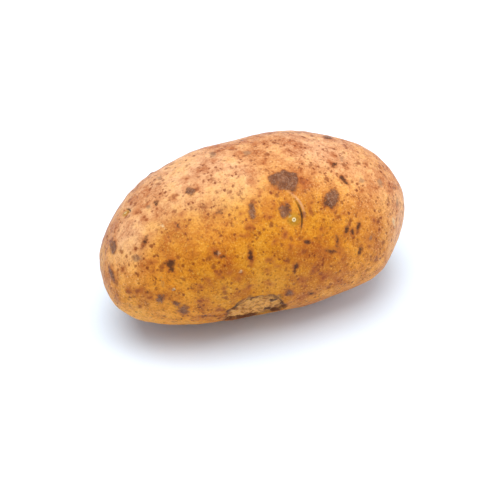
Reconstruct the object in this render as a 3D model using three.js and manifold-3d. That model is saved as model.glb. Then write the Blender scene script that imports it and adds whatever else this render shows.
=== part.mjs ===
// A potato: one grown tuber, lying on the flattest part of its underside. Millimetres, +Z up.
//
// X runs along the tuber, from the rose end (-X, where the eyes crowd) to the stem end (+X, where
// the runner that fed it broke off). A place on the skin is named by two numbers: its share of the
// half length (-1 to 1) and its angle around the length, from +Y (0 degrees) over the top (90).
// The origin is on the resting surface, under the middle of the tuber's box.

import * as THREE from "three";
import { mergeVertices } from "three/addons/utils/BufferGeometryUtils.js";
import Module from "manifold-3d";

// Size of the tuber before its swells and hollows.
const LENGTH = 110;
const WIDTH = 64;
const HEIGHT = 58;

// 2 would be an ellipsoid: a little more makes blunter ends and straighter flanks.
const FULLNESS = 2.3;

// How much thicker the stem end is than the rose end, as a share of the thickness at the middle.
const TAPER = 0.065;

// The length isn't straight: it bows to one side and upwards at the middle, and sways at its ends.
const BOW = { side: 2.7, up: 3.7 };
const SWAY = { side: -1.7, up: -1.3 };

// How much of the underside is pressed flat, measured up from the lowest point of the round shape.
const FLAT_DEPTH = 0.5;

// Broad lumps and hollows: where, how far they reach and how high they rise (mm).
const SWELLS = [
  { name: "stem end facet", share: 0.88, around: 190, reach: 13, rise: -2.2 },
  { name: "front belly", share: 0.5, around: 220, reach: 22, rise: 0.4 },
  { name: "rose end heel", share: -0.4, around: 268, reach: 22, rise: 1.2 },
  { name: "stem end arch", share: 0.45, around: 268, reach: 22, rise: -1.0 },
  { name: "back shoulder", share: 0.35, around: 350, reach: 20, rise: 1.1 },
  { name: "back waist", share: -0.2, around: 340, reach: 18, rise: -0.9 },
  { name: "stem end cheek", share: 0.8, around: 20, reach: 14, rise: 0.8 },
];

// Each eye is a shallow hollow around its bud, under a crescent brow on the side of the stem end.
const EYES = [
  { name: "face eye", share: 0.07, around: 138.5, width: 14, depth: 0.9, brow: 0.5 },
  { name: "rose end top eye", share: -0.79, around: 72, width: 8, depth: 0.6, brow: 0.3 },
  { name: "crown eye", share: -0.95, around: 330, width: 8, depth: 0.8, brow: 0.3 },
  { name: "rose end back eye", share: -0.58, around: 345, width: 11, depth: 0.9, brow: 0.4 },
  { name: "back eye", share: 0.12, around: 12, width: 13, depth: 1.0, brow: 0.5 },
  { name: "low back eye", share: 0.5, around: 305, width: 12, depth: 0.8, brow: 0.4 },
  { name: "under eye", share: -0.3, around: 292, width: 10, depth: 0.8, brow: 0.3 },
  { name: "stem end back eye", share: 0.76, around: 38, width: 10, depth: 0.7, brow: 0.4 },
];
const EYE_HOLLOW_SHARE = 0.42; // of the eye's width, out to which its hollow fades
const BROW_OFFSET_SHARE = 0.3; // of the eye's width, from the bud to the brow's ridge
const BROW_BREADTH = 2.2; // from the brow's ridge to its foot

// The pit where the runner broke off.
const STEM_SCAR = { share: 0.985, around: 60, reach: 5, rise: -1.3 };

// Cuts along each edge of the twenty-sided start shape, which give facets about 2.7 mm across.
const EDGE_CUTS = 17;

// A block that takes the underside's flat, well wider than the tuber.
const TRIM_BLOCK = 200;

// Half the stretch that a slope is measured over, as a share of the half length and in degrees.
const SHARE_STEP = 0.004;
const DEGREE_STEP = 0.2;

// Below this distance (mm) from a bud, a point has no side.
const BUD_CENTRE = 0.01;

const SKIN = { color: 0xc9924f, roughness: 0.55, metalness: 0 };

/** A unit place on the start shape from its share along and its angle around. */
function placeOf(share, around) {
  const angle = THREE.MathUtils.degToRad(around);
  const girth = Math.pow(1 - Math.pow(Math.abs(share), FULLNESS), 1 / FULLNESS);
  return new THREE.Vector3(share, girth * Math.cos(angle), girth * Math.sin(angle));
}

/** The tapered and bowed body: a fuller ellipsoid whose girth and centre line vary along X. */
function bodyPoint(direction) {
  const girth = Math.hypot(direction.y, direction.z);
  const norm = Math.pow(
    Math.pow(Math.abs(direction.x), FULLNESS) + Math.pow(girth, FULLNESS),
    1 / FULLNESS,
  );
  const along = direction.x / norm;
  const taper = 1 + TAPER * along;
  const bow = 1 - along * along;
  return new THREE.Vector3(
    (LENGTH / 2) * along,
    (WIDTH / 2) * taper * (direction.y / norm) + (BOW.side + SWAY.side * along) * bow,
    (HEIGHT / 2) * taper * (direction.z / norm) + (BOW.up + SWAY.up * along) * bow,
  );
}

/** A place on the body with its outward normal, its direction to the stem end and the one across. */
function frameAt({ share, around }) {
  const centre = bodyPoint(placeOf(share, around));
  const along = bodyPoint(placeOf(share + SHARE_STEP, around))
    .sub(bodyPoint(placeOf(share - SHARE_STEP, around)))
    .normalize();
  const across = bodyPoint(placeOf(share, around + DEGREE_STEP))
    .sub(bodyPoint(placeOf(share, around - DEGREE_STEP)))
    .normalize();
  const outward = new THREE.Vector3().crossVectors(across, along).normalize();
  if (outward.dot(centre) < 0) {
    outward.negate();
  }
  return { centre, along, across, outward };
}

/** How strongly a soft bump acts at a distance: 1 at its centre, fading as a bell curve. */
function bell(distance, reach) {
  return Math.exp(-Math.pow(distance / reach, 2));
}

/** A broad swell or hollow, which lifts each point along the outward normal at its centre. */
function swellLift(swell) {
  const { centre, outward } = frameAt(swell);
  return (point) => outward.clone().multiplyScalar(
    swell.rise * bell(point.distanceTo(centre), swell.reach),
  );
}

/** An eye: a bell-shaped hollow at the bud, and a raised crescent on its stem side. */
function eyeLift(eye) {
  const { centre, along, outward } = frameAt(eye);
  const browRadius = eye.width * BROW_OFFSET_SHARE;
  return (point) => {
    const offset = point.clone().sub(centre);
    const distance = offset.length();
    const towardsStem = Math.max(0, offset.dot(along) / Math.max(distance, BUD_CENTRE));
    const hollow = -eye.depth * bell(distance, eye.width * EYE_HOLLOW_SHARE);
    const brow = eye.brow * bell(distance - browRadius, BROW_BREADTH) * towardsStem;
    return outward.clone().multiplyScalar(hollow + brow);
  };
}

/** The closed skin: an evenly split ball whose points move out to the body, then by each lift. */
function makeSkin() {
  const ball = new THREE.IcosahedronGeometry(1, EDGE_CUTS);
  ball.deleteAttribute("normal");
  ball.deleteAttribute("uv");
  const skin = mergeVertices(ball);
  const lifts = [
    ...SWELLS.map(swellLift),
    ...EYES.map(eyeLift),
    swellLift(STEM_SCAR),
  ];
  const positions = skin.attributes.position;
  for (let i = 0; i < positions.count; i += 1) {
    const base = bodyPoint(new THREE.Vector3().fromBufferAttribute(positions, i));
    const point = base.clone();
    lifts.forEach((lift) => point.add(lift(base)));
    positions.setXYZ(i, point.x, point.y, point.z);
  }
  skin.computeBoundingBox();
  return skin;
}

/** The block below the plane that the tuber rests on. */
function makeTrimBlock(restingHeight) {
  const block = new THREE.BoxGeometry(TRIM_BLOCK, TRIM_BLOCK, TRIM_BLOCK);
  block.deleteAttribute("normal");
  block.deleteAttribute("uv");
  block.translate(0, 0, restingHeight - TRIM_BLOCK / 2);
  return mergeVertices(block);
}

/** Turns a closed, merged geometry into a solid that can be cut. */
function toSolid(wasm, geometry) {
  return new wasm.Manifold(new wasm.Mesh({
    numProp: 3,
    vertProperties: new Float32Array(geometry.attributes.position.array),
    triVerts: new Uint32Array(geometry.index.array),
  }));
}

/** Turns a cut solid back into a geometry. */
function toGeometry(solid) {
  const mesh = solid.getMesh();
  const geometry = new THREE.BufferGeometry();
  geometry.setAttribute("position", new THREE.BufferAttribute(mesh.vertProperties, 3));
  geometry.setIndex(new THREE.BufferAttribute(mesh.triVerts, 1));
  return geometry;
}

/** The whole tuber with its resting flat, moved so that the origin is under its middle. */
function makeTuber(wasm) {
  const skin = makeSkin();
  const restingHeight = skin.boundingBox.min.z + FLAT_DEPTH;
  const trimmed = toSolid(wasm, skin).subtract(toSolid(wasm, makeTrimBlock(restingHeight)));
  const geometry = toGeometry(trimmed);
  geometry.computeBoundingBox();
  const middle = geometry.boundingBox.getCenter(new THREE.Vector3());
  geometry.translate(-middle.x, -middle.y, -restingHeight);
  geometry.computeVertexNormals();
  return geometry;
}

const wasm = await Module();
wasm.setup();

const tuber = new THREE.Mesh(makeTuber(wasm), new THREE.MeshStandardMaterial(SKIN));
tuber.name = "tuber";

const potato = new THREE.Group();
potato.add(tuber);

export default potato;
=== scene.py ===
"""A raw potato lying on a pale surface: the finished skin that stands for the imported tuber.

Places on the skin are named by two numbers, as in the CAD model: the share of the half length, from
the rose end (-1) to the stem end (+1), and the angle around the length, from +Y (0 degrees) over the
top (90). Sizes are in millimetres until a mesh is written, and the frame's own lengths are in metres.
"""
import logging
import math
from dataclasses import dataclass, field
from enum import Enum

import bpy
import numpy as np
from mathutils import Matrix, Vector


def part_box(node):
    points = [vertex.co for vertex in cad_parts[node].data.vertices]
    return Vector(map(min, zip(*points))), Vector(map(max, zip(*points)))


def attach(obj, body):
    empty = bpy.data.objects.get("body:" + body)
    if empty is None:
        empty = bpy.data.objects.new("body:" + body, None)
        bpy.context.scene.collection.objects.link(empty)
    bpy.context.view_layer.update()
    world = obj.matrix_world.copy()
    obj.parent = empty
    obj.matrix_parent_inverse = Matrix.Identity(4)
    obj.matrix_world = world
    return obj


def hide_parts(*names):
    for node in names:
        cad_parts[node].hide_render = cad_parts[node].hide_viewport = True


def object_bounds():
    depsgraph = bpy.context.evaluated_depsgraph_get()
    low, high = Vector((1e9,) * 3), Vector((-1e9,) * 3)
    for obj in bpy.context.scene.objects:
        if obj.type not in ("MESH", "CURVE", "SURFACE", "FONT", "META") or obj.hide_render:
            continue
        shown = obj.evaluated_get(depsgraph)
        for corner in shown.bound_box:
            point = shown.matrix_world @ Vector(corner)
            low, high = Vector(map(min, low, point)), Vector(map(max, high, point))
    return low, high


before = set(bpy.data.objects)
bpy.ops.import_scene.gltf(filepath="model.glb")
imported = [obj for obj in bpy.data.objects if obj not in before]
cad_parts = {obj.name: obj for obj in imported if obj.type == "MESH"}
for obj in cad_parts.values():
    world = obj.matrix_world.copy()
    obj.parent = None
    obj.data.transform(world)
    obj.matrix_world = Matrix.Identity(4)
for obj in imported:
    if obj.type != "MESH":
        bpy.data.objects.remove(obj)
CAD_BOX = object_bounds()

NODE = "tuber"
BODY = "root"
PIECE = "potato_skin"
MM = 0.001  # one millimetre in metres
HALF_TURN = 180.0  # degrees
WELD_DIGITS = 6  # decimals to which two directions agree when they are one point
LOG = logging.getLogger("potato")

Socket = bpy.types.NodeSocket
Sockets = dict[str, Socket]


# ---------------------------------------------------------------------------------- small helpers

def linear(code: str, alpha: float = 1.0) -> tuple[float, float, float, float]:
    """Turns an sRGB hex colour into linear light: a straight foot, then a power of 2.4.

    Args:
        code: A hash and six hex digits.
        alpha: The fourth channel.

    Returns:
        Linear red, green, blue and alpha.
    """
    digits = code.lstrip("#")
    parts = [int(digits[i:i + 2], 16) / 255 for i in (0, 2, 4)]
    red, green, blue = (
        c / 12.92 if c <= 0.04045 else ((c + 0.055) / 1.055) ** 2.4 for c in parts
    )
    return red, green, blue, alpha


def unit(vectors: np.ndarray) -> np.ndarray:
    """Scales each vector of the last axis to length one."""
    return vectors / np.linalg.norm(vectors, axis=-1, keepdims=True)


def bell(distance: np.ndarray, reach: float) -> np.ndarray:
    """Gives 1 at distance 0, fading as exp(-(distance / reach) squared)."""
    return np.exp(-(distance / reach) ** 2)


def blunt(distance: np.ndarray, reach: float) -> np.ndarray:
    """Gives 1 near distance 0, with a flatter top than a bell: exp(-(distance / reach)^4)."""
    return np.exp(-(np.abs(distance) / reach) ** 4)


def rise_past(value: np.ndarray, width: float) -> np.ndarray:
    """Gives a soft step from 0 to 1 as value passes 0, over about twice the width."""
    return 0.5 + 0.5 * np.tanh(value / width)


class Graph:
    """A node tree with one way to add a node, its settings and its links."""

    def __init__(self, tree: bpy.types.NodeTree) -> None:
        """Empties the tree and keeps it."""
        tree.nodes.clear()
        self.tree = tree

    def add(self, kind: str, settings: dict, links: dict, give: int | str = 0) -> Socket | None:
        """Adds one node.

        Args:
            kind: The node's type name, without its first word.
            settings: Its properties by name.
            links: For each input, by name or number, an output to link or a value to set.
            give: Which output to give back, by name or number.

        Returns:
            That output, or nothing for a node that has none.
        """
        node = self.tree.nodes.new("ShaderNode" + kind)
        for name, value in settings.items():
            setattr(node, name, value)
        for name, source in links.items():
            if isinstance(source, Socket):
                self.tree.links.new(source, node.inputs[name])
            else:
                node.inputs[name].default_value = source
        return node.outputs[give] if node.outputs else None


# ------------------------------------------------------------------------------------- the shape

@dataclass(frozen=True)
class Place:
    """A place on the skin and the directions there, all in the body's own millimetres."""

    centre: np.ndarray
    to_stem: np.ndarray
    around: np.ndarray
    outward: np.ndarray

    def local(self, points: np.ndarray,
              turn: float = 0.0) -> tuple[np.ndarray, np.ndarray, np.ndarray]:
        """Measures points from this place.

        Args:
            points: Points in the body's millimetres.
            turn: Degrees by which the measuring axes turn, from the stem end towards `around`.

        Returns:
            The distances along the turned first axis, across it, and outwards.
        """
        angle = math.radians(turn)
        first = math.cos(angle) * self.to_stem + math.sin(angle) * self.around
        second = -math.sin(angle) * self.to_stem + math.cos(angle) * self.around
        offset = points - self.centre
        return offset @ first, offset @ second, offset @ self.outward


@dataclass(frozen=True)
class Swell:
    """A broad lump, or a hollow if its rise is negative."""

    share: float
    around: float
    reach: float
    rise: float


@dataclass(frozen=True)
class TuberForm:
    """The tuber's body as a formula: a fuller ellipsoid, tapered and bowed, with broad swells."""

    length: float = 110.0
    width: float = 64.0
    height: float = 58.0
    fullness: float = 2.3
    taper: float = 0.065
    # how far the centre line stands to the side and up: at its middle, and more at one end
    bow: tuple[float, float] = (2.7, 3.7)
    sway: tuple[float, float] = (-1.7, -1.3)
    flat_depth: float = 0.5
    # half the stretch that a direction is measured over: a share along, and radians around
    small_step: float = 0.004
    swells: tuple[Swell, ...] = (
        Swell(0.88, 190, 13, -2.2),  # facet at the stem end
        Swell(0.50, 220, 22, 0.4),  # front belly
        Swell(-0.40, 268, 22, 1.2),  # heel under the rose end
        Swell(0.45, 268, 22, -1.0),  # arch under the stem end
        Swell(0.35, 350, 20, 1.1),  # back shoulder
        Swell(-0.20, 340, 18, -0.9),  # back waist
        Swell(0.80, 20, 14, 0.8),  # cheek at the stem end
        Swell(0.985, 60, 5, -1.3),  # pit where the runner broke off
        Swell(-0.42, 228, 13, -0.6),  # dip beside the wound
        Swell(-0.95, 165, 14, 0.45),  # chin at the rose end
    )

    def direction(self, share: float, around: float) -> np.ndarray:
        """Gives a point of the start shape: share along X, and a girth of (1 - share^n)^(1/n).

        Args:
            share: Share of the half length.
            around: Degrees around the length.

        Returns:
            The point, where 1 is the half length along X and the full girth across it.
        """
        angle = math.radians(around)
        girth = (1 - abs(share) ** self.fullness) ** (1 / self.fullness)
        return np.array([share, girth * math.cos(angle), girth * math.sin(angle)])

    def body(self, directions: np.ndarray) -> np.ndarray:
        """Carries directions out to the smooth body.

        Each direction is divided by its n-norm, (x^n + girth^n)^(1/n), which gives a fuller
        ellipsoid. Its girth then grows with x by the taper, and its centre line is moved by
        (bow + sway x)(1 - x squared).

        Args:
            directions: Any vectors that aren't zero, along the last axis.

        Returns:
            Points in millimetres.
        """
        girth = np.hypot(directions[..., 1], directions[..., 2])
        full = self.fullness
        norm = (np.abs(directions[..., 0]) ** full + girth ** full) ** (1 / full)
        x, y, z = np.moveaxis(directions / norm[..., None], -1, 0)
        taper = 1 + self.taper * x
        fade = 1 - x * x
        return np.stack([
            self.length / 2 * x,
            self.width / 2 * taper * y + (self.bow[0] + self.sway[0] * x) * fade,
            self.height / 2 * taper * z + (self.bow[1] + self.sway[1] * x) * fade,
        ], axis=-1)

    def place(self, share: float, around: float) -> Place:
        """Finds a place on the smooth body, with its directions from small differences.

        Args:
            share: Share of the half length.
            around: Degrees around the length.

        Returns:
            The place.
        """
        step, turn = self.small_step, math.degrees(self.small_step)
        to_stem = unit(self.body(self.direction(share + step, around))
                       - self.body(self.direction(share - step, around)))
        across = unit(self.body(self.direction(share, around + turn))
                      - self.body(self.direction(share, around - turn)))
        return Place(self.body(self.direction(share, around)), to_stem, across,
                     unit(np.cross(across, to_stem)))

    def swelled(self, directions: np.ndarray) -> np.ndarray:
        """Adds the swells to the body: each lifts along its own normal by rise times a bell curve.

        Args:
            directions: Any vectors that aren't zero, along the last axis.

        Returns:
            Points in millimetres.
        """
        base = self.body(directions)
        points = base.copy()
        for swell in self.swells:
            spot = self.place(swell.share, swell.around)
            lift = swell.rise * bell(np.linalg.norm(base - spot.centre, axis=-1), swell.reach)
            points += spot.outward * lift[..., None]
        return points


@dataclass(frozen=True)
class Ripple:
    """Smooth noise of one wavelength: a sum of plane waves in seeded random directions."""

    wavelength: float
    seed: int
    waves: int = 28
    pace: tuple[float, float] = (0.7, 1.4)

    def at(self, points: np.ndarray) -> np.ndarray:
        """Sums cos(k . p + phase) over the waves, scaled so that its spread is about 1.

        Args:
            points: Points in millimetres.

        Returns:
            One value for each point.
        """
        random = np.random.default_rng(self.seed)
        ways = unit(random.normal(size=(self.waves, 3)))
        pace = random.uniform(*self.pace, self.waves) * 2 * math.pi / self.wavelength
        phase = random.uniform(0, 2 * math.pi, self.waves)
        return np.cos(points @ (ways * pace[:, None]).T + phase).sum(-1) * math.sqrt(2 / self.waves)


# --------------------------------------------------------------------------- eyes, marks and tints

@dataclass(frozen=True)
class Eye:
    """An eye: a hollow round a bud, under a curved brow on the side of the stem end.

    The brow stands `offset` from the bud and bends round it with the radius `bend`. Its middle
    is `lean` further around the tuber than the bud.
    """

    share: float
    around: float
    width: float
    depth: float
    brow: float
    offset: float = 3.0
    bend: float = 8.0
    lean: float = 0.0


@dataclass(frozen=True)
class EyeShape:
    """What all eyes share: sizes ending in _mm are in millimetres, others shares of the width."""

    hollow: float = 0.42
    brow_half: float = 0.48
    ridge_from: float = 0.05
    ridge_soft: float = 0.2
    crease_half: float = 0.33
    crease_lean: float = 0.45  # of the brow's own lean
    lip_fade: float = 0.22
    lip_soft_mm: float = 0.25
    crease_depth_mm: float = 0.40
    crease_back_mm: float = 0.25
    crease_width_mm: float = 0.45
    bud_height_mm: float = 0.4
    bud_reach_mm: float = 1.0


class MarkKind(Enum):
    """The kinds of mark on the skin; the value is the name of the attribute that holds it."""

    SCAB = "scab"
    FLECK = "fleck"
    SMUDGE = "smudge"
    PALE = "pale"
    CORK = "cork"
    PORE = "pore"


@dataclass(frozen=True)
class Mark:
    """One mark: its kind, place, length, breadth and the turn of its length from the stem direction."""

    kind: MarkKind
    share: float
    around: float
    long: float
    wide: float
    turn: float = 0.0


class TintKind(Enum):
    """The broad colours that wash over the skin; the value is the name of the attribute.

    The peach wash is partly a painted highlight, and the amber wash partly painted light that
    makes the rose end lighter.
    """

    GOLD = "gold"
    PEACH_AND_HIGHLIGHT = "peach_and_highlight"
    RUSSET = "russet"
    AMBER_AND_LIT_END = "amber_and_lit_end"


EYES: tuple[Eye, ...] = (
    Eye(0.07, 138.5, 14.5, 0.9, 0.55, 3.2, 9.5, -1.3),  # the main one, on the face
    Eye(-0.795, 73.5, 6, 0.35, 0.15, 1.8, 5),  # a small one on top of the rose end
    Eye(-0.95, 330, 8, 0.8, 0.3),  # at the crown
    Eye(-0.58, 345, 11, 0.9, 0.5),  # back of the rose end
    Eye(0.12, 12, 13, 1.0, 0.6, 3.0, 12),  # back
    Eye(0.50, 305, 12, 0.8, 0.5),  # low on the back
    Eye(-0.30, 292, 10, 0.8, 0.4),  # underside
    Eye(0.76, 38, 10, 0.7, 0.45),  # back of the stem end
)

# marks of the seen side, one by one: share, degrees around, length, breadth, and turn from the
# stem direction
MARKS: dict[MarkKind, tuple[tuple[float, ...], ...]] = {
    MarkKind.SCAB: (
        # the big round scab above the face eye, and its lumpy side
        (0.105, 114, 9.0, 8.2, 40), (0.045, 112, 5.6, 5.0, 120),
        # the rough scab beside it, towards the stem end
        (0.333, 130.5, 7.0, 5.0, 127),
        # scabs at both ends, on the ridge and low on the face
        (0.562, 74, 6.5, 3.4, 122), (-0.925, 91, 6.5, 3.6, 102), (-0.97, 130, 7.0, 2.2, 75),
        (-0.443, 99.5, 4.2, 2.8, 73), (-0.16, 127, 6.4, 2.6, 103), (0.030, 132, 5.4, 3.8, 130),
        (-0.65, 190, 5.4, 3.2, 93), (-0.69, 182, 3.2, 2.0, 44), (-0.775, 174, 3.8, 2.6, 108),
        (-0.02, 190, 4.0, 2.8, 63),
    ),
    MarkKind.FLECK: (
        (-0.685, 144, 3.4, 2.4, 7), (-0.686, 149, 2.2, 1.8, 100), (-0.78, 117.5, 4.0, 1.4, 141),
        (-0.335, 121, 2.6, 1.3, 178), (-0.588, 119, 2.2, 1.4, 113), (-0.432, 146.5, 1.9, 1.6, 110),
        (-0.40, 150, 1.6, 1.4, 0), (0.464, 119, 3.8, 1.8, 70), (0.255, 164, 4.6, 1.4, 24),
        (0.381, 152, 3.0, 1.6, 112), (0.414, 154, 2.4, 1.3, 81), (0.461, 152, 3.4, 1.4, 112),
        (0.306, 158, 3.4, 1.5, 87), (0.45, 168.5, 2.6, 1.5, 105), (-0.239, 153.5, 4.0, 1.7, 96),
        (0.115, 154.5, 2.4, 1.9, 15), (0.02, 169, 3.6, 1.6, 100), (0.133, 196, 3.0, 1.8, 54),
        (0.463, 106.5, 3.2, 1.4, 144), (-0.833, 165, 2.0, 1.7, 0), (-0.64, 93, 2.8, 1.8, 122),
        (-0.52, 201, 5.0, 1.0, 8),
        # pits and dark edges of the wound
        (-0.106, 197, 3.4, 2.0, 0), (-0.345, 199, 5.0, 2.4, 120), (-0.225, 189.5, 6.0, 1.3, 155),
        (-0.12, 211, 4.0, 2.4, 0), (-0.035, 203, 3.0, 2.4, 60),
    ),
    MarkKind.SMUDGE: (
        (0.72, 123, 4.2, 3.0, 125), (0.59, 120.5, 3.4, 2.6, 120), (0.822, 141.5, 4.4, 2.4, 135),
        (-0.02, 84, 4.0, 3.0, 54), (-0.20, 75, 5.0, 2.6, 94), (0.53, 101.5, 2.8, 2.2, 145),
        (-0.686, 91, 3.0, 2.0, 60), (-0.54, 68, 5.0, 2.0, 90), (0.54, 161, 3.0, 1.8, 140),
        (-0.75, 158.5, 3.6, 1.6, 100), (-0.85, 127, 4.4, 2.6, 23),
    ),
    MarkKind.PALE: (
        (-0.66, 114, 1.8, 1.4, 62), (-0.414, 147, 1.8, 1.6, 0), (-0.312, 162.5, 1.6, 1.5, 0),
        (-0.70, 166, 1.4, 1.2, 0), (0.048, 136, 1.2, 1.1, 0), (-0.77, 77, 1.8, 1.4, 0),
        (0.748, 156.5, 5.0, 2.4, 60),
    ),
    MarkKind.CORK: (
        # the corky wound low on the front
        (-0.214, 205, 21.5, 18.0, -15),
    ),
}

# large pores of the seen side, one by one: share and degrees around
FACE_PORES: tuple[tuple[float, float], ...] = (
    (-0.92, 163), (-0.88, 163), (-0.88, 188), (-0.83, 172), (-0.72, 165), (-0.55, 168), (-0.56, 181),
    (-0.42, 173), (-0.38, 162), (-0.44, 161), (-0.50, 165), (-0.33, 168), (-0.31, 164), (-0.24, 157),
    (-0.45, 195), (-0.78, 137), (-0.92, 131), (-0.95, 135), (-0.78, 145), (-0.22, 82), (-0.05, 83),
    (-0.07, 76), (-0.42, 88), (-0.69, 88), (-0.75, 87), (-0.73, 98), (-0.54, 113), (-0.54, 98),
    (-0.40, 100), (-0.23, 127), (-0.21, 137), (-0.25, 140), (0.03, 98), (-0.08, 134), (-0.08, 118),
    (-0.10, 110), (0.20, 118), (0.29, 112), (0.22, 109), (0.49, 98), (0.54, 109), (0.68, 106),
    (0.72, 111), (0.56, 128), (0.61, 129), (0.20, 131), (0.18, 135), (0.38, 141), (0.58, 150),
    (0.44, 105), (0.22, 148), (-0.01, 146), (-0.08, 149), (0.00, 155), (0.20, 153), (-0.13, 160),
    (-0.10, 164), (-0.15, 167), (-0.27, 176), (-0.14, 178), (0.20, 182), (0.13, 175), (0.28, 185),
    (0.32, 166), (0.52, 168), (0.78, 164), (0.77, 130), (0.46, 183),
)

# washes of colour: share, degrees around, reach and strength
TINTS: dict[TintKind, tuple[tuple[float, ...], ...]] = {
    TintKind.GOLD: (
        (-0.35, 150, 24, 0.9), (-0.30, 175, 22, 0.6), (-0.64, 146, 12, 0.9), (0.05, 158, 20, 0.7),
        (0.45, 165, 20, 0.45), (-0.60, 195, 20, 0.5), (-0.25, 290, 28, 0.9), (0.35, 340, 20, 0.6),
    ),
    # the first two amber washes make the rose end lighter: painted light on that end; the others are the
    # skin's amber tone
    TintKind.AMBER_AND_LIT_END: (
        (-0.88, 180, 16, 1.2), (-0.92, 150, 13, 0.9), (-0.30, 126, 8, 0.5), (-0.70, 205, 14, 0.7),
        (0.42, 178, 13, 0.7), (0.45, 135, 16, 0.4), (0.70, 330, 16, 0.6),
    ),
    # the peach washes are the skin's peach tone and partly a painted highlight: the first two lie on the
    # upper face where the soft light's highlight falls
    TintKind.PEACH_AND_HIGHLIGHT: (
        (-0.20, 106, 9, 1.0), (-0.37, 108, 9, 0.9), (0.40, 95, 14, 0.6), (-0.62, 108, 6, 0.3),
        (0.88, 160, 12, 0.6), (-0.60, 72, 20, 0.6), (-0.35, 84, 12, 0.4), (-0.84, 108, 10, 0.8),
        (-0.05, 70, 20, 0.4), (0.55, 75, 18, 0.3), (0.66, 120, 12, 0.35), (-0.10, 20, 20, 0.6),
        (-0.70, 330, 14, 0.5),
    ),
    TintKind.RUSSET: (
        (-0.10, 74, 18, 0.8), (0.28, 78, 14, 0.9), (-0.60, 90, 14, 0.6), (0.35, 166, 18, 0.8),
        (-0.76, 155, 11, 1.0), (-0.63, 120, 9, 1.2), (0.12, 92, 9, 0.6), (0.17, 151, 6, 0.9),
        (0.08, 164, 7, 0.8), (-0.01, 182, 8, 0.8), (-0.18, 126, 6, 0.7), (0.22, 116, 8, 0.6),
        (0.55, 120, 9, 0.5), (-0.46, 166, 10, 0.8), (0.45, 300, 20, 0.8), (-0.45, 350, 15, 0.7),
        (0.75, 30, 16, 0.8),
    ),
}


@dataclass(frozen=True)
class HiddenMarks:
    """Marks scattered over the sides that MARKS leaves bare, as thick as on the face."""

    seed: int = 11
    count: int = 150
    around_from: float = 232.0
    around_span: float = 180.0
    farthest: float = 0.93
    shortest: float = 1.4
    longest: float = 6.5
    slimness: tuple[float, float] = (0.45, 0.95)
    chances: tuple[tuple[MarkKind, float], ...] = (
        (MarkKind.PORE, 0.45),
        (MarkKind.FLECK, 0.20),
        (MarkKind.SCAB, 0.13),
        (MarkKind.SMUDGE, 0.14),
        (MarkKind.PALE, 0.08),
    )

    def scatter(self) -> list[Mark]:
        """Draws the marks; their length follows the cube of an even draw, so that few are long.

        Returns:
            The marks.
        """
        random = np.random.default_rng(self.seed)
        kinds, chances = zip(*self.chances)
        marks = []
        for _ in range(self.count):
            kind = kinds[int(random.choice(len(kinds), p=chances))]
            long = self.shortest + (self.longest - self.shortest) * random.random() ** 3
            if kind in (MarkKind.PORE, MarkKind.PALE):
                long = self.shortest
            marks.append(Mark(
                kind,
                float(random.uniform(-self.farthest, self.farthest)),
                float(self.around_from + self.around_span * random.random()) % (2 * HALF_TURN),
                float(long),
                float(long * random.uniform(*self.slimness)),
                float(random.uniform(0, HALF_TURN)),
            ))
        return marks


@dataclass(frozen=True)
class FacePores:
    """The large pores on the face: their places are given, their sizes and turns are drawn."""

    seed: int = 5
    length: tuple[float, float] = (1.1, 2.4)
    slimness: tuple[float, float] = (0.5, 1.0)

    def draw(self) -> list[Mark]:
        """Draws all the lengths, then each pore's breadth and turn.

        Returns:
            The pores.
        """
        random = np.random.default_rng(self.seed)
        lengths = random.uniform(*self.length, len(FACE_PORES))
        return [
            Mark(MarkKind.PORE, share, around, long, long * random.uniform(*self.slimness),
                 random.uniform(0, HALF_TURN))
            for (share, around), long in zip(FACE_PORES, lengths)
        ]


@dataclass(frozen=True)
class EdgeStep:
    """A soft step in the skin inside a mark's edge: how far in, how wide, how high and how rough."""

    inset: float
    width: float
    rise: float
    rough: float = 0.0


STEPS: dict[MarkKind, EdgeStep] = {
    MarkKind.SCAB: EdgeStep(0.3, 0.2, 0.16, 0.08),
    MarkKind.FLECK: EdgeStep(0.3, 0.2, -0.10),
    MarkKind.CORK: EdgeStep(0.5, 0.4, -0.75, 0.16),
}


# --------------------------------------------------------------------------------- the skin's mesh

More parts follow.
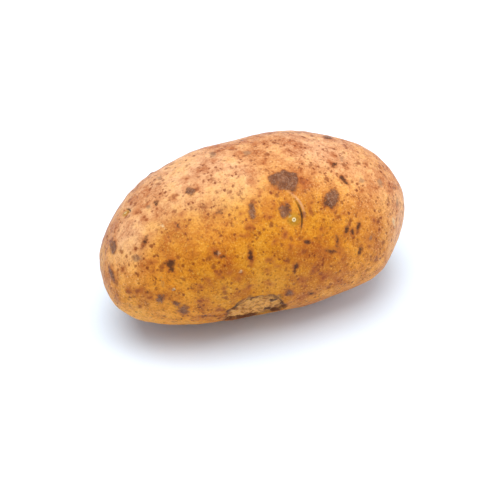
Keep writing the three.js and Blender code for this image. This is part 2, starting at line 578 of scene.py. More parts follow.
@dataclass
class TuberSkin:
    """The skin: six grids over a ball, carried out to the form and shaped with eyes and marks."""

    form: TuberForm = field(default_factory=TuberForm)
    eye_shape: EyeShape = field(default_factory=EyeShape)
    cells_along: int = 160
    cells_around: int = 112
    chart_gap: float = 3.0

    # the width of an eye whose bud is painted at full size
    bud_width: float = 16.0

    # height and wavelength of the lumps and the pebbling over the whole skin
    waves: tuple[tuple[float, Ripple], ...] = ((0.22, Ripple(24, 3)), (0.05, Ripple(5.5, 4)))
    rough: Ripple = Ripple(1.6, 31)

    # a mark's edge: the coarse lobes are in shares of its breadth, the fine ones in millimetres
    lobes: tuple[Ripple, Ripple] = (Ripple(4.5, 7), Ripple(1.8, 8))
    coarse_lobe: float = 0.03
    fine_lobe: float = 0.16

    # the swollen lip round the wound: its height, how far outside the edge it is, and its reach
    lip: tuple[float, float, float] = (0.35, 0.5, 0.9)

    # how far from a mark's edge, a brow and a bud the distances are kept
    edge_range: tuple[float, float] = (-4.0, 6.0)
    brow_range: tuple[float, float] = (-4.0, 4.0)
    bud_range: tuple[float, float] = (0.0, 20.0)

    def grids(self) -> list[tuple[np.ndarray, tuple[float, float]]]:
        """Lays the six grids.

        A side grid's points lie along (tan a, side, tan b) for even steps of the angles a and b
        between -45 and 45 degrees; an end grid's along (end, tan a, tan b).

        Returns:
            Each grid's unit directions, and the corner of its chart, in cells.
        """
        along = np.tan(np.linspace(-math.pi / 4, math.pi / 4, self.cells_along + 1))
        about = np.tan(np.linspace(-math.pi / 4, math.pi / 4, self.cells_around + 1))
        high, wide = self.cells_around + self.chart_gap, self.cells_along + self.chart_gap
        made = []
        for number in range(4):
            turn = number * math.pi / 2
            side = np.array([0, math.cos(turn), math.sin(turn)])
            beside = np.array([0, -math.sin(turn), math.cos(turn)])
            grid = (along[:, None, None] * np.array([1.0, 0, 0])
                    + side + about[None, :, None] * beside)
            made.append((unit(grid), (number % 2 * wide, number // 2 * high)))
        for number, end in enumerate((-1.0, 1.0)):
            grid = (np.array([end, 0, 0]) + about[:, None, None] * np.array([0, 1.0, 0])
                    + about[None, :, None] * np.array([0, 0, 1.0]))
            made.append((unit(grid), (number * high, 2 * high)))
        return made

    def quads(self, grid: np.ndarray, start: int) -> tuple[np.ndarray, np.ndarray]:
        """Joins a grid's points into outward-facing four-sided faces.

        Args:
            grid: Unit directions, rows by columns.
            start: The number of the grid's first point.

        Returns:
            The faces' point numbers, and the row and column of each of their corners.
        """
        rows, columns = grid.shape[:2]
        row, column = np.meshgrid(np.arange(rows - 1), np.arange(columns - 1), indexing="ij")
        corners = np.stack([row, column, row + 1, column, row + 1, column + 1, row, column + 1], -1)
        corners = corners.reshape(-1, 4, 2)
        first = np.cross(grid[1, 0] - grid[0, 0], grid[0, 1] - grid[0, 0])
        if first @ grid[0, 0] < 0:
            corners = corners[:, ::-1]
        return start + corners[..., 0] * columns + corners[..., 1], corners

    def weld(self) -> tuple[np.ndarray, np.ndarray, np.ndarray]:
        """Joins the grids where they meet, so that the skin is closed.

        Returns:
            The directions with no two alike, the faces by their numbers, and each corner's place
            on the chart, from 0 to 1.
        """
        directions, faces, spots, start = [], [], [], 0
        for grid, corner in self.grids():
            numbers, cells = self.quads(grid, start)
            directions.append(grid.reshape(-1, 3))
            faces.append(numbers)
            spots.append(cells + np.array(corner))
            start += grid.shape[0] * grid.shape[1]
        every = np.concatenate(directions)
        _, first, number = np.unique(
            np.round(every, WELD_DIGITS), axis=0, return_index=True, return_inverse=True)
        charts = np.concatenate(spots).astype(float) + self.chart_gap / 2
        reach = max(2 * (self.cells_along + self.chart_gap), 3 * (self.cells_around + self.chart_gap))
        return every[first], number.reshape(-1)[np.concatenate(faces)], charts / reach

    @staticmethod
    def normals(points: np.ndarray, faces: np.ndarray) -> np.ndarray:
        """Averages the faces' own directions at each point: each is the cross of its diagonals.

        Args:
            points: The points.
            faces: Four point numbers for each face.

        Returns:
            A unit vector for each point.
        """
        corners = points[faces]
        across = np.cross(corners[:, 2] - corners[:, 0], corners[:, 3] - corners[:, 1])
        total = np.zeros_like(points)
        for corner in range(4):
            np.add.at(total, faces[:, corner], across)
        return unit(total)

    def brow_line(self, eye: Eye, points: np.ndarray) -> tuple[np.ndarray, ...]:
        """Measures points from an eye's brow, a parabola that bends round the bud.

        Args:
            eye: The eye.
            points: Points in the body's millimetres.

        Returns:
            The distance past the brow towards the stem end, the distance from the bud, how far
            the point is inside the brow's span, from 1 at its middle to 0 past its ends, how
            far it is on the upper half of that span, and how far it is along the crease.
        """
        shape, spot = self.eye_shape, self.form.place(eye.share, eye.around)
        u, v, w = spot.local(points)
        along, near = v - eye.lean, bell(w, eye.width)
        past = u - eye.offset + along * along / (2 * eye.bend)
        span = blunt(along, shape.brow_half * eye.width) * near
        upper = rise_past(-along - shape.ridge_from * eye.width, shape.ridge_soft * eye.width)
        crease = blunt(v - shape.crease_lean * eye.lean, shape.crease_half * eye.width) * near
        return past, np.sqrt(u * u + v * v + w * w), span, span * upper, crease

    def eye_relief(self, eye: Eye, points: np.ndarray) -> np.ndarray:
        """Shapes an eye: hollow at the bud, a crease under the brow, a lip above it and a bud.

        The hollow and the bud are bell curves of the distance from the bud, the crease one of
        the distance past the brow. The lip rises there and fades exponentially.

        Args:
            eye: The eye.
            points: Points in the body's millimetres.

        Returns:
            How far each point moves outwards.
        """
        shape = self.eye_shape
        past, from_bud, span, ridge, creased = self.brow_line(eye, points)
        hollow = -eye.depth * bell(from_bud, shape.hollow * eye.width)
        fade = np.exp(-np.maximum(past, 0) / (shape.lip_fade * eye.width))
        lip = eye.brow * rise_past(past, shape.lip_soft_mm) * fade * (span + ridge) / 2
        crease = bell(past + shape.crease_back_mm, shape.crease_width_mm) * creased
        bud = shape.bud_height_mm * bell(from_bud, shape.bud_reach_mm)
        return hollow + lip - shape.crease_depth_mm * crease + bud

    def closeness(self, mark: Mark, points: np.ndarray,
                  lobes: tuple[np.ndarray, np.ndarray]) -> np.ndarray:
        """Tells how many millimetres inside a mark's edge each point is.

        The edge is an ellipse moved in and out by two ripples, the coarse one in step with the
        mark's size. Near it the distance is (1 - ring) times half the breadth, where ring is 1
        on the ellipse.

        Args:
            mark: The mark.
            points: Points in the body's millimetres.
            lobes: The coarse and the fine ripple at those points.

        Returns:
            The distances, negative outside the mark.
        """
        spot = self.form.place(mark.share, mark.around)
        u, v, w = spot.local(points, mark.turn)
        ring = np.sqrt((2 * u / mark.long) ** 2 + (2 * v / mark.wide) ** 2 + (w / mark.long) ** 2)
        lobed = self.coarse_lobe * mark.wide * lobes[0] + self.fine_lobe * lobes[1]
        return np.clip((1 - ring) * mark.wide / 2 + lobed, *self.edge_range)

    def relief(self, points: np.ndarray, fields: dict[str, np.ndarray]) -> np.ndarray:
        """Adds up the relief: waves, eyes, the steps at the marks' edges and the wound's lip.

        Args:
            points: Points of the swelled body, in its own millimetres.
            fields: One value for each point, by attribute name.

        Returns:
            How far each point moves outwards.
        """
        total = sum(height * ripple.at(points) for height, ripple in self.waves)
        total += sum(self.eye_relief(eye, points) for eye in EYES)
        rough = self.rough.at(points)
        for kind, step in STEPS.items():
            inside = rise_past(fields[kind.value] - step.inset, step.width)
            total += inside * (step.rise + step.rough * rough)
        height, outside, reach = self.lip
        return total + height * bell(fields[MarkKind.CORK.value] + outside, reach)

    def build(self) -> tuple[bpy.types.Object, dict[str, np.ndarray]]:
        """Works the whole skin out and writes it as a mesh object.

        Returns:
            The object and its attributes by name.
        """
        directions, faces, charts = self.weld()
        points = self.form.swelled(directions)
        fields = self.fields(points)
        resting = points[:, 2].min() + self.form.flat_depth
        outward = self.normals(points, faces)
        points = points + outward * self.relief(points, fields)[:, None]
        low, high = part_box(NODE)
        middle = (points.max(0) + points.min(0)) / 2
        # the underside is pressed flat where it rests
        points[:, 2] = np.maximum(points[:, 2], resting)
        points -= [middle[0], middle[1], resting]
        points = points * MM + [(low.x + high.x) / 2, (low.y + high.y) / 2, low.z]
        return self.write(points, faces, charts, fields), fields

    def fields(self, points: np.ndarray) -> dict[str, np.ndarray]:
        """Works out every attribute: marks, tints and the eyes' brows and buds.

        Args:
            points: Points of the swelled body, in its own millimetres.

        Returns:
            One value for each point, by attribute name.
        """
        made = {}
        placed = [Mark(kind, *numbers) for kind, rows in MARKS.items() for numbers in rows]
        marks = [*placed, *FacePores().draw(), *HiddenMarks().scatter()]
        lobes = self.lobes[0].at(points), self.lobes[1].at(points)
        for kind in MarkKind:
            near = [self.closeness(mark, points, lobes) for mark in marks if mark.kind is kind]
            made[kind.value] = np.max(near, axis=0)
        for kind in TintKind:
            wash = np.zeros(len(points))
            for share, around, reach, strength in TINTS[kind]:
                away = np.linalg.norm(points - self.form.place(share, around).centre, axis=-1)
                wash += strength * bell(away, reach)
            made[kind.value] = wash
        return made | self.eye_fields(points)

    def eye_fields(self, points: np.ndarray) -> dict[str, np.ndarray]:
        """Works out the brow's and bud's attributes, each point's from the eye nearest to it.

        Args:
            points: Points of the swelled body, in its own millimetres.

        Returns:
            One value for each point, by attribute name.
        """
        lines = [self.brow_line(eye, points) for eye in EYES]
        sizes = np.array([math.sqrt(self.bud_width / eye.width) for eye in EYES])
        nearest = np.argmin([line[1] for line in lines], axis=0)[None]
        past, from_bud, _, ridge, crease = (
            np.take_along_axis(np.array([line[part] for line in lines]), nearest, 0)[0]
            for part in range(5)
        )
        return {
            "brow_past": np.clip(past, *self.brow_range),
            "brow_crease_shaded": crease,
            "brow_ridge_lit": ridge,
            "bud_distance": np.clip(from_bud * sizes[nearest[0]], *self.bud_range),
        }

    def write(self, points: np.ndarray, faces: np.ndarray, charts: np.ndarray,
              fields: dict[str, np.ndarray]) -> bpy.types.Object:
        """Writes the arrays into a mesh object.

        Args:
            points: Points in metres.
            faces: Four point numbers for each face.
            charts: Each face corner's place on the chart.
            fields: One value for each point, by attribute name.

        Returns:
            The linked object.
        """
        mesh = bpy.data.meshes.new(PIECE)
        mesh.vertices.add(len(points))
        mesh.vertices.foreach_set("co", points.astype(np.float32).ravel())
        mesh.loops.add(faces.size)
        mesh.loops.foreach_set("vertex_index", faces.astype(np.int32).ravel())
        mesh.polygons.add(len(faces))
        starts = np.arange(0, faces.size, faces.shape[1], dtype=np.int32)
        mesh.polygons.foreach_set("loop_start", starts)
        mesh.polygons.foreach_set("use_smooth", np.ones(len(faces), dtype=bool))
        mesh.update(calc_edges=True)
        layer = mesh.uv_layers.new(name="OFBake")
        layer.uv.foreach_set("vector", charts.astype(np.float32).ravel())
        for name, values in fields.items():
            attribute = mesh.attributes.new(name, "FLOAT", "POINT")
            attribute.data.foreach_set("value", values.astype(np.float32))
        mesh.validate()
        piece = bpy.data.objects.new(PIECE, mesh)
        bpy.context.scene.collection.objects.link(piece)
        return piece


# ---------------------------------------------------------------------------------- the skin's look

@dataclass(frozen=True)
class Ramp:
    """How a value turns into a strength: `none` at its start, `full` at its end."""

    start: float
    end: float
    full: float = 1.0
    none: float = 0.0

    def of(self, value: Socket) -> dict[str, Socket | float]:
        """Gives what a node that ramps this value is linked to and set to."""
        return {"Value": value, "From Min": self.start, "From Max": self.end,
                "To Min": self.none, "To Max": self.full}


@dataclass(frozen=True)
class Spots:
    """Scattered ragged spots: one in each random cell, each with its own size, in millimetres."""

    cell: float
    radius: float
    soft: float
    shake: float
    strength: float


@dataclass(frozen=True)
class Coat:
    """How a kind of mark is painted: how its strength ramps with the millimetres inside its edge."""

    kind: MarkKind
    edge: Ramp


MULTIPLY = {"operation": "MULTIPLY"}
MULTIPLY_ADD = {"operation": "MULTIPLY_ADD"}
EVEN = {"clamp": True}
SOFT = {"clamp": True, "interpolation_type": "SMOOTHSTEP"}
COLOURS = {"data_type": "RGBA", "clamp_factor": True}
WASH = {**COLOURS, "blend_type": "MULTIPLY"}

# a colour Mix node's sockets by number: how much of the coat, what is under it, the coat, the result
SHARE, UNDER, OVER, RESULT = 0, 6, 7, 2


@dataclass(frozen=True)
class PotatoPeriderm:
    """Potato skin: a thin corky layer over yellow flesh, washed, dry and slightly waxy.

    To the eye it is matt with a faint broad sheen. The flesh shows through as gold where the
    cork is thin. The cork is russet where it is thick, and its pores (lenticels) are brown specks
    of about half a millimetre to two millimetres.
    """

    # the ground
    gold: str = "#DD920C"
    honey: str = "#F2E090"
    buff: str = "#DA8C34"
    # amber is the skin's amber tone, and also painted light that makes the rose end lighter
    amber_and_lit_end: str = "#F4A030"
    # peach is the skin's peach tone, and also the painted highlight of the peach washes and of the eyes'
    # brow ridges
    peach_and_highlight: str = "#F0B68A"
    cream: str = "#EFB05A"
    granule: str = "#FACFA0"
    russet: str = "#AE561E"
    umber: str = "#823A10"
    speck: str = "#7A3206"
    # marks, eyes and the wound
    scab_dark: str = "#562E1E"
    scab_light: str = "#8A5638"
    scab_wrinkle: str = "#B48A6C"
    fleck: str = "#3E1E0E"
    smudge: str = "#8A6448"
    cork_rim: str = "#5E2A08"
    pale: str = "#F6DCA8"
    olive: str = "#A87C10"
    # crease is the painted shadow along the crease under each brow, and the dark tip of each bud
    crease: str = "#3C260C"
    cork_dark: str = "#94501A"
    cork_light: str = "#ECA654"
    # the surface, and how deep its finest relief is in millimetres
    roughness: Ramp = Ramp(0.3, 0.7, 0.56, 0.40)
    ior: float = 1.45
    gloss: float = 0.22
    bump_mm: float = 0.22

    # name, size in millimetres, octaves and how rough they are; real skin cells are 0.05 mm, so
    # the grain is drawn as coarse as it needs to be to show
    noises: tuple[tuple[str, float, float, float], ...] = (
        ("cloud", 13.0, 3.0, 0.6),
        ("mottle", 4.2, 4.0, 0.6),
        ("fleck", 1.7, 4.0, 0.6),
        ("grain", 0.62, 3.0, 0.75),
    )
    blots: Spots = Spots(8.0, 2.4, 2.2, 2.2, 0.35)
    pores: Spots = Spots(3.0, 0.95, 0.8, 2.2, 0.7)
    specks: Spots = Spots(1.5, 0.6, 0.35, 2.0, 0.85)
    shake_pace: float = 0.7  # shakes in a spot's radius

    # what makes the cork thicker or thinner, beside the cloud noise
    thickness: tuple[tuple[str, float], ...] = (
        ("mottle", 0.9), ("russet", 0.14), ("gold", -0.06), ("peach_and_highlight", -0.12))

    # the ground: how thickness, the fine noises and the netting show
    thick_cork: Ramp = Ramp(0.84, 1.2, 0.78)
    thin_cork: Ramp = Ramp(0.92, 0.62, 0.45)
    scurf: Ramp = Ramp(0.49, 0.76, 0.5)
    dark_grain: Ramp = Ramp(0.47, 0.22, 0.8)
    light_grain: Ramp = Ramp(0.54, 0.76, 0.7)
    net_level: float = 0.5
    net_line: Ramp = Ramp(0.028, 0.006, 0.6)
    net_area: Ramp = Ramp(0.46, 0.62)
    speck_area: Ramp = Ramp(0.38, 0.58, 1.0, 0.35)

    # marks, from the lowest coat to the highest, by the millimetres inside their edge
    coats: tuple[Coat, ...] = (
        Coat(MarkKind.PORE, Ramp(0.0, 0.6, 0.65)),
        Coat(MarkKind.SMUDGE, Ramp(-0.2, 0.9, 0.6)),
        Coat(MarkKind.PALE, Ramp(0.0, 0.6, 0.38)),
        Coat(MarkKind.CORK, Ramp(-0.2, 0.8, 0.85)),
        Coat(MarkKind.SCAB, Ramp(-0.3, 0.8, 0.92)),
        Coat(MarkKind.FLECK, Ramp(-0.3, 0.6, 0.88)),
    )

    # how many millimetres the grain and the fleck noises move that edge, and their mean shift
    ragged: tuple[float, float, float] = (2.0, 1.5, -1.75)
    scab_depth: float = 0.8  # where a scab's depth stops growing
    surround: Ramp = Ramp(-1.1, 0.3, 0.5)
    crumbs: Ramp = Ramp(0.50, 0.72, 0.8)
    plates: Ramp = Ramp(0.42, 0.62)
    cork_plates: Ramp = Ramp(0.50, 0.66, 0.45)
    cork_crumbs: Ramp = Ramp(0.49, 0.60, 0.8)
    cork_grains: Ramp = Ramp(0.54, 0.70, 0.85)
    wrinkle_level: float = 0.54
    wrinkle: Ramp = Ramp(0.03, 0.008, 0.55)
    rim_inset: float = 0.6
    rim: Ramp = Ramp(1.5, 0.4, 0.92)
    rim_area: Ramp = Ramp(0.40, 0.54, 1.0, 0.3)

    # eyes, in millimetres from the brow or the bud
    inside_brow: Ramp = Ramp(0.3, -0.2)
    halo: Ramp = Ramp(3.4, 1.2, 0.6)
    crease_at: float = -0.15
    # the dark crease line is a painted shadow
    crease_shadow: Ramp = Ramp(0.42, 0.1, 0.85)
    ridge_at: float = 0.7
    # the pale line along the brow's ridge is a painted highlight
    ridge_highlight: Ramp = Ramp(0.7, 0.1, 0.5)
    bud_ring: Ramp = Ramp(0.9, 0.6, 0.75)
    bud_tip: Ramp = Ramp(0.5, 0.2, 0.9)

    # the fine relief: the grain's height, how much more it is where rough, and the others'
    grain_height: float = 0.6
    rough_height: float = 1.2
    fleck_height: float = 1.1
    pore_height: float = -0.6

    def build(self) -> bpy.types.Material:
        """Builds the material.

        Returns:
            The material, with one Principled shader.
        """
        material = bpy.data.materials.new("potato_periderm_grown")
        material.use_nodes = True
        graph = Graph(material.node_tree)
        where = graph.add("TexCoord", {}, {}, "Object")
        noise = {
            name: graph.add("TexNoise", {}, {
                "Vector": where, "Scale": 1 / (size * MM), "Detail": octaves, "Roughness": rough}, "Fac")
            for name, size, octaves, rough in self.noises
        }
        names = [*(kind.value for kind in MarkKind), *(kind.value for kind in TintKind),
                 "brow_past", "brow_crease_shaded", "brow_ridge_lit", "bud_distance"]
        fields = {name: graph.add("Attribute", {"attribute_name": name}, {}, "Fac") for name in names}
        spots = {name: self.spots(graph, where, spot) for name, spot in
                 (("blots", self.blots), ("pores", self.pores), ("specks", self.specks))}
        colour = self.ground(graph, noise, fields)
        colour = self.speckle(graph, colour, noise, spots)
        colour, rough = self.marks(graph, colour, noise, fields)
        colour = self.eyes(graph, colour, fields)
        shine = graph.add("MapRange", EVEN, self.roughness.of(noise["fleck"]))
        bump = graph.add("Bump", {}, {
            "Distance": self.bump_mm * MM, "Height": self.height(graph, noise, spots, rough)})
        shader = graph.add("BsdfPrincipled", {}, {
            "Base Color": colour, "Roughness": shine, "Normal": bump,
            "IOR": self.ior, "Specular IOR Level": self.gloss})
        graph.add("OutputMaterial", {}, {"Surface": shader})
        return material

    def spots(self, graph: Graph, where: Socket, spots: Spots) -> Socket:
        """Draws scattered spots with soft, ragged edges.

        A spot's depth is its own random size, less the distance from its middle; the coordinates
        are first shaken by a noise of the spots' own size.

        Args:
            graph: The material's graph.
            where: Coordinates in metres.
            spots: Their sizes.

        Returns:
            How strongly a spot shows, from 0 to its strength.
        """
        shake = graph.add("TexNoise", {}, {
            "Vector": where, "Scale": self.shake_pace / (spots.radius * MM), "Detail": 2.0}, "Color")
        shaken = graph.add("VectorMath", MULTIPLY_ADD, {
            0: shake, 1: (spots.shake * spots.radius * MM,) * 3, 2: where})
        away = graph.add("TexVoronoi", {}, {"Vector": shaken, "Scale": 1 / (spots.cell * MM)}, "Distance")
        size = graph.add("SeparateColor", {}, {"Color": away.node.outputs["Color"]})
        depth = graph.add("Math", MULTIPLY_ADD, {0: size, 1: -spots.radius / spots.cell, 2: away})
        half = 0.5 * spots.soft / spots.cell
        return graph.add("MapRange", SOFT, Ramp(half, -half, spots.strength).of(depth))

    def away(self, graph: Graph, value: Socket, level: float) -> Socket:
        """Measures how far a value is from a level, either way.

        Args:
            graph: The material's graph.
            value: The value.
            level: The level.

        Returns:
            The distance, never negative.
        """
        past = graph.add("Math", {"operation": "SUBTRACT"}, {0: value, 1: level})
        return graph.add("Math", {"operation": "ABSOLUTE"}, {0: past})

    def paint(self, graph: Graph, colour: Socket | str,
              coats: list[tuple[Socket, Socket | str]]) -> Socket:
        """Lays coats of colour over a colour, one after another.

        Args:
            graph: The material's graph.
            colour: The colour beneath, as an output or in hex.
            coats: How much of each coat shows, and its colour in the same way.

        Returns:
            The painted colour.
        """
        under = linear(colour) if isinstance(colour, str) else colour
        for share, coat in coats:
            over = linear(coat) if isinstance(coat, str) else coat
            under = graph.add("Mix", COLOURS, {SHARE: share, UNDER: under, OVER: over}, RESULT)
        return under

    def ground(self, graph: Graph, noise: Sockets, fields: Sockets) -> Socket:
        """Lays the ground colour: buff, washed with gold, amber and peach, then clouded and grained.

        The amber wash is partly painted light on the rose end, the peach wash partly a painted
        highlight.

        Args:
            graph: The material's graph.
            noise: Noises by name.
            fields: Attributes by name.

        Returns:
            The ground colour.
        """
        thick = noise["cloud"]
        for name, weight in self.thickness:
            part = noise[name] if name in noise else fields[name]
            thick = graph.add("Math", MULTIPLY_ADD, {0: part, 1: weight, 2: thick})
        contour = self.away(graph, noise["fleck"], self.net_level)
        net = graph.add("Math", MULTIPLY, {
            0: graph.add("MapRange", SOFT, self.net_line.of(contour)),
            1: graph.add("MapRange", EVEN, self.net_area.of(noise["mottle"]))})
        colour = self.paint(graph, self.buff, [
            # the amber wash is partly painted light that makes the rose end lighter
            (fields["gold"], self.gold),
            # the peach wash is partly a painted highlight on the upper face
            (fields["amber_and_lit_end"], self.amber_and_lit_end),
            (fields["peach_and_highlight"], self.peach_and_highlight),
            (graph.add("MapRange", EVEN, self.thin_cork.of(thick)), self.cream),
            (graph.add("MapRange", EVEN, self.thick_cork.of(thick)), self.russet),
            (graph.add("MapRange", EVEN, self.scurf.of(noise["fleck"])), self.russet),
            (net, self.umber),
            (graph.add("MapRange", EVEN, self.dark_grain.of(noise["grain"])), self.umber),
            (graph.add("MapRange", EVEN, self.light_grain.of(noise["grain"])), self.granule),
        ])
        return graph.add("Mix", WASH, {
            SHARE: fields["gold"], UNDER: colour, OVER: linear(self.honey)}, RESULT)

    def speckle(self, graph: Graph, colour: Socket, noise: Sockets, spots: Sockets) -> Socket:
        """Adds the blots, specks and pores; specks gather where the mottle is strong.

        Args:
            graph: The material's graph.
            colour: The colour so far.
            noise: Noises by name.
            spots: How strongly each kind of spot shows.

        Returns:
            The painted colour.
        """
        some = graph.add("MapRange", EVEN, self.speck_area.of(noise["mottle"]))
        specks = graph.add("Math", MULTIPLY, {0: spots["specks"], 1: some})
        return self.paint(graph, colour, [
            (spots["blots"], self.russet),
            (specks, self.speck),
            (spots["pores"], self.umber),
        ])

    def scab(self, graph: Graph, noise: Sockets) -> Socket:
        """Colours a scab: dark plates, the paler wrinkles between them, and dark crumbs.

        Args:
            graph: The material's graph.
            noise: Noises by name.

        Returns:
            The colour.
        """
        wrinkles = self.away(graph, noise["fleck"], self.wrinkle_level)
        return self.paint(graph, self.scab_light, [
            (graph.add("MapRange", EVEN, self.plates.of(noise["mottle"])), self.scab_dark),
            (graph.add("MapRange", SOFT, self.wrinkle.of(wrinkles)), self.scab_wrinkle),
            (graph.add("MapRange", EVEN, self.crumbs.of(noise["grain"])), self.scab_dark)])

    def cork(self, graph: Graph, noise: Sockets) -> Socket:
        """Colours the wound's healed cork: tan, with dark plates, crumbs and grains.

        Args:
            graph: The material's graph.
            noise: Noises by name.

        Returns:
            The colour.
        """
        parts = ((self.cork_plates, "mottle"), (self.cork_crumbs, "fleck"), (self.cork_grains, "grain"))
        return self.paint(graph, self.cork_light, [
            (graph.add("MapRange", EVEN, ramp.of(noise[name])), self.cork_dark)
            for ramp, name in parts])

    def marks(self, graph: Graph, colour: Socket, noise: Sockets,
              fields: Sockets) -> tuple[Socket, Socket]:
        """Paints the placed marks; their edges are broken up by the fine noises.

        Args:
            graph: The material's graph.
            colour: The colour so far.
            noise: Noises by name.
            fields: Attributes by name.

        Returns:
            The colour, and where the skin is rough.
        """
        by_grain, by_fleck, shift = self.ragged
        ragged = graph.add("Math", MULTIPLY_ADD, {0: noise["grain"], 1: by_grain, 2: shift})
        ragged = graph.add("Math", MULTIPLY_ADD, {0: noise["fleck"], 1: by_fleck, 2: ragged})
        looks = {MarkKind.PORE: self.umber, MarkKind.SMUDGE: self.smudge,
                 MarkKind.PALE: self.pale, MarkKind.CORK: self.cork(graph, noise),
                 MarkKind.SCAB: self.scab(graph, noise), MarkKind.FLECK: self.fleck}
        depths = {kind: fields[kind.value] for kind in MarkKind}
        depths[MarkKind.SCAB] = graph.add("Math", {"operation": "MINIMUM"}, {
            0: fields["scab"], 1: self.scab_depth})
        edges = {kind: graph.add("Math", {"operation": "ADD"}, {0: depth, 1: ragged})
                 for kind, depth in depths.items()}
        inside = {coat.kind: graph.add("MapRange", SOFT, coat.edge.of(edges[coat.kind]))
                  for coat in self.coats}
        near_edge = self.away(graph, edges[MarkKind.CORK], self.rim_inset)
        rim = graph.add("Math", MULTIPLY, {
            0: graph.add("MapRange", SOFT, self.rim.of(near_edge)),
            1: graph.add("MapRange", EVEN, self.rim_area.of(noise["mottle"]))})
        coats = [
            (graph.add("MapRange", SOFT, self.surround.of(edges[kind])), self.russet)
            for kind in (MarkKind.PORE, MarkKind.SCAB, MarkKind.FLECK)
        ]
        for coat in self.coats:
            coats.append((inside[coat.kind], looks[coat.kind]))
            if coat.kind is MarkKind.CORK:
                coats.append((rim, self.cork_rim))
        rough = graph.add("Math", {"operation": "MAXIMUM"}, {
            0: inside[MarkKind.SCAB], 1: inside[MarkKind.CORK]})
        return self.paint(graph, colour, coats), rough

    def eyes(self, graph: Graph, colour: Socket, fields: Sockets) -> Socket:
        """Paints the eyes: olive inside the brow, a painted shadow in the crease under it, a painted
        highlight along its ridge, and the bud.

        Args:
            graph: The material's graph.
            colour: The colour so far.
            fields: Attributes by name.

        Returns:
            The painted colour.
        """
        past, bud = fields["brow_past"], fields["bud_distance"]
        from_crease = self.away(graph, past, self.crease_at)
        from_ridge = self.away(graph, past, self.ridge_at)
        parts = (
            (self.halo, bud, graph.add("MapRange", EVEN, self.inside_brow.of(past)), self.olive),
            # a painted highlight along the brow's ridge
            (self.ridge_highlight, from_ridge, fields["brow_ridge_lit"], self.peach_and_highlight),
            # a painted shadow along the crease under the brow
            (self.crease_shadow, from_crease, fields["brow_crease_shaded"], self.crease),
        )
        coats = []
        for ramp, value, within, coat in parts:
            strength = graph.add("MapRange", SOFT, ramp.of(value))
            coats.append((graph.add("Math", MULTIPLY, {0: strength, 1: within}), coat))
        coats.append((graph.add("MapRange", SOFT, self.bud_ring.of(bud)), self.pale))
        coats.append((graph.add("MapRange", SOFT, self.bud_tip.of(bud)), self.crease))
        return self.paint(graph, colour, coats)

    def height(self, graph: Graph, noise: Sockets, spots: Sockets, rough: Socket) -> Socket:
        """Adds up the fine relief: grain everywhere, stronger on scabs and cork, and sunken pores.

        Args:
            graph: The material's graph.
            noise: Noises by name.
            spots: How strongly each kind of spot shows.
            rough: Where the skin is rough.

        Returns:
            The height, as a share of the bump's depth.
        """
        strength = graph.add("Math", MULTIPLY_ADD, {
            0: rough, 1: self.rough_height, 2: self.grain_height})
        grainy = graph.add("Math", MULTIPLY, {0: noise["grain"], 1: strength})
        wavy = graph.add("Math", MULTIPLY_ADD, {
            0: noise["fleck"], 1: self.fleck_height, 2: grainy})
        return graph.add("Math", MULTIPLY_ADD, {0: spots["pores"], 1: self.pore_height, 2: wavy})


# ----------------------------------------------------------------------------------------- studio

@dataclass(frozen=True)
class WhitePaper:
    """Seamless white paper, matt and a little cool: it throws light up onto the potato's underside."""

    colour: str = "#EFF7FF"
    roughness: float = 0.9

    def build(self) -> bpy.types.Material:
        """Builds the material.

        Returns:
            The material.
        """
        material = bpy.data.materials.new("white_seamless_paper")
        material.use_nodes = True
        graph = Graph(material.node_tree)
        shader = graph.add("BsdfPrincipled", {}, {
            "Base Color": linear(self.colour), "Roughness": self.roughness})
        graph.add("OutputMaterial", {}, {"Surface": shader})
        return material


@dataclass(frozen=True)
class Lamp:
    """A square soft light that faces the potato: its power in watts, its size and its place."""

    name: str
    power: float
    size: float
    place: tuple[float, float, float]

    def build(self) -> None:
        """Hangs the light."""
        lamp = bpy.data.lights.new(self.name, "AREA")
        lamp.shape = "SQUARE"
        lamp.size = self.size
        lamp.energy = self.power
        holder = bpy.data.objects.new(self.name, lamp)
        holder.location = self.place
        holder.rotation_euler = (-Vector(self.place)).to_track_quat("-Z", "Y").to_euler()
        bpy.context.scene.collection.objects.link(holder)


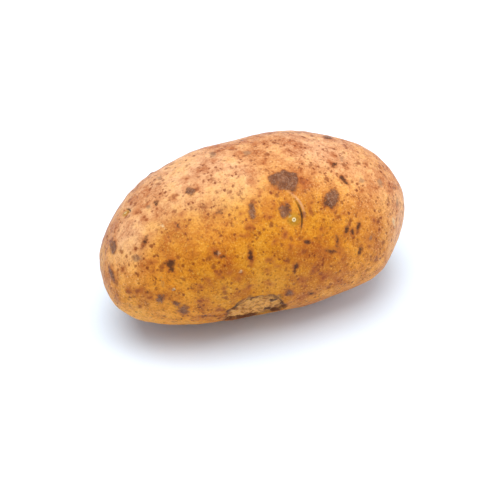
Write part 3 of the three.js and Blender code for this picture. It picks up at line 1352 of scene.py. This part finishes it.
@dataclass(frozen=True)
class Studio:
    """A pale floor, soft light from above and from the right, and the camera.

    Lengths are in metres, the lens and sensor in millimetres, and angles in degrees.
    """

    floor_half: float = 3.0
    azimuth: float = -23.7
    elevation: float = 40.0
    distance: float = 0.459
    lens: float = 100.0
    sensor: float = 36.0
    nearest: float = 0.01
    aim: tuple[float, float, float] = (-0.0045, 0.0, -0.0053)
    # the light that comes from all round: its strength and its linear colour
    surround: float = 0.55
    air: tuple[float, float, float, float] = (0.71, 0.88, 1.03, 1.0)
    lamps: tuple[Lamp, ...] = (
        Lamp("softbox_over", 12.0, 1.0, (-0.10, 0.0, 1.0)),
        Lamp("softbox_right", 2.5, 0.6, (0.73, -0.32, 0.35)),
    )

    def floor(self) -> None:
        """Lays the floor under the potato, on the frame's own resting height."""
        low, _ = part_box(NODE)
        half = self.floor_half
        around = ((-half, -half), (half, -half), (half, half), (-half, half))
        corners = [(x, y, low.z) for x, y in around]
        mesh = bpy.data.meshes.new("floor")
        mesh.from_pydata(corners, [], [(0, 1, 2, 3)])
        sheet = bpy.data.objects.new("floor", mesh)
        mesh.materials.append(WhitePaper().build())
        bpy.context.scene.collection.objects.link(sheet)

    def lights(self) -> None:
        """Sets the pale surroundings and the soft lights."""
        world = bpy.data.worlds.new("white_room")
        bpy.context.scene.world = world
        world.use_nodes = True
        graph = Graph(world.node_tree)
        glow = graph.add("Background", {}, {"Color": self.air, "Strength": self.surround})
        graph.add("OutputWorld", {}, {"Surface": glow})
        for lamp in self.lamps:
            lamp.build()

    def camera(self) -> None:
        """Stands the camera at its angle, aimed a little beside the middle of the frame's box."""
        low, high = CAD_BOX
        aim = (low + high) / 2 + Vector(self.aim)
        turn, lift = math.radians(self.azimuth), math.radians(self.elevation)
        flat = math.cos(lift)
        back = Vector((math.sin(turn) * flat, -math.cos(turn) * flat, math.sin(lift)))
        lens = bpy.data.cameras.new("camera")
        lens.lens = self.lens
        lens.sensor_width = self.sensor
        lens.clip_start = self.nearest
        holder = bpy.data.objects.new("camera", lens)
        holder.location = aim + back * self.distance
        holder.rotation_euler = (-back).to_track_quat("-Z", "Y").to_euler()
        bpy.context.scene.collection.objects.link(holder)
        bpy.context.scene.camera = holder

    def build(self) -> None:
        """Builds the floor, the lights and the camera, and keeps colours as they are lit."""
        self.floor()
        self.lights()
        self.camera()
        bpy.context.scene.view_settings.view_transform = "Standard"


def main() -> None:
    """Builds the studio and the potato."""
    logging.basicConfig(level=logging.INFO, format="%(message)s")
    Studio().build()
    LOG.info("studio: floor, soft lights and camera")
    piece, fields = TuberSkin().build()
    piece.data.materials.append(PotatoPeriderm().build())
    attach(piece, BODY)
    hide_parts(NODE)
    LOG.info("potato_skin: %d faces, %d attributes", len(piece.data.polygons), len(fields))


if __name__ == "__main__":
    main()
